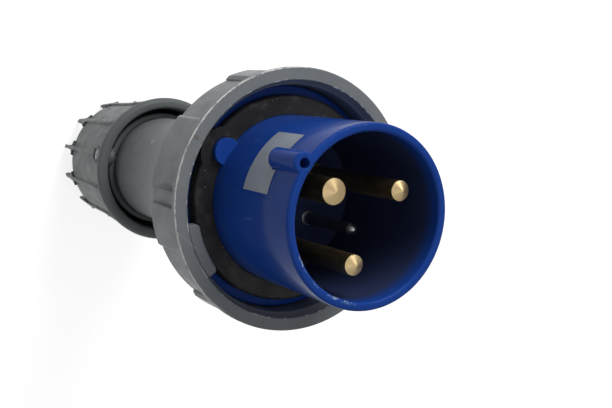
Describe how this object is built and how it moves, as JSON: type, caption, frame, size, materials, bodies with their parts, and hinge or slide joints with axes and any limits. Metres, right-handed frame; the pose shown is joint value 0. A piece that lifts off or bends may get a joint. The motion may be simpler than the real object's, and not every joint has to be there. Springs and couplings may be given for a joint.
{
  "type": "industrial pin and sleeve plug",
  "caption": "Watertight industrial pin and sleeve plug with a blue shroud, brass pins, grey bayonet ring, tapered housing and finned cable gland.",
  "frame": {"origin": "centre of the circle of gland fin tips that the plug stands on, on the plug's axis", "axes": "+Z along the plug from the gland to the mouth of the shroud, -Y towards the key and the earth pin"},
  "size_m": [0.1094, 0.1094, 0.253],
  "materials": {
    "shroud_blue": "gloss moulded polyamide",
    "retainer_blue": "moulded polyamide",
    "label_silver": "thin silver-grey film, blank",
    "gasket_rubber": "dull, dusty",
    "seal_rubber": "dull",
    "ring_grey": "fine-textured moulded polyamide",
    "housing_grey": "satin moulded polyamide",
    "gland_grey": "satin moulded polyamide",
    "pin_brass": "turned and polished",
    "pilot_nickel": "nickel-plated brass",
    "screw_steel": "zinc-plated steel",
    "washer_nylon": "natural nylon"
  },
  "bodies": {
    "plug_body": {"pin_shroud": "shroud_blue", "label_plate": "label_silver", "sealing_gasket": "gasket_rubber", "rear_housing": "housing_grey", "housing_seal": "seal_rubber", "earth_pin": "pin_brass", "line_pin": "pin_brass", "neutral_pin": "pin_brass", "pilot_pin": "pilot_nickel", "earth_terminal_screw": "screw_steel", "line_terminal_screw": "screw_steel", "neutral_terminal_screw": "screw_steel", "pilot_terminal_screw": "screw_steel", "pin_retainer": "retainer_blue", "retainer_screw_left": "screw_steel", "retainer_screw_right": "screw_steel", "cable_seal": "seal_rubber"},
    "ring": {"bayonet_ring": "ring_grey"},
    "washer": {"thrust_washer": "washer_nylon"},
    "nut": {"gland_nut": "gland_grey", "gland_lock_screw": "screw_steel"}
  },
  "joints": [
    {"name": "ring_turn", "type": "hinge", "parent": "plug_body", "child": "ring", "pos_m": [0, 0, 0.18], "axis": [0, 0, 1], "continuous": true},
    {"name": "gland_slide", "type": "slide", "parent": "plug_body", "child": "washer", "axis": [0, 0, -1], "range_m": [0, 0.006]},
    {"name": "gland_turn", "type": "hinge", "parent": "washer", "child": "nut", "pos_m": [0, 0, 0.04], "axis": [0, 0, -1], "range_deg": [0, 540]}
  ],
  "couplings": [
    {"joint": "gland_slide", "follows": "gland_turn", "m_per_rad": 0.00063662}
  ]
}
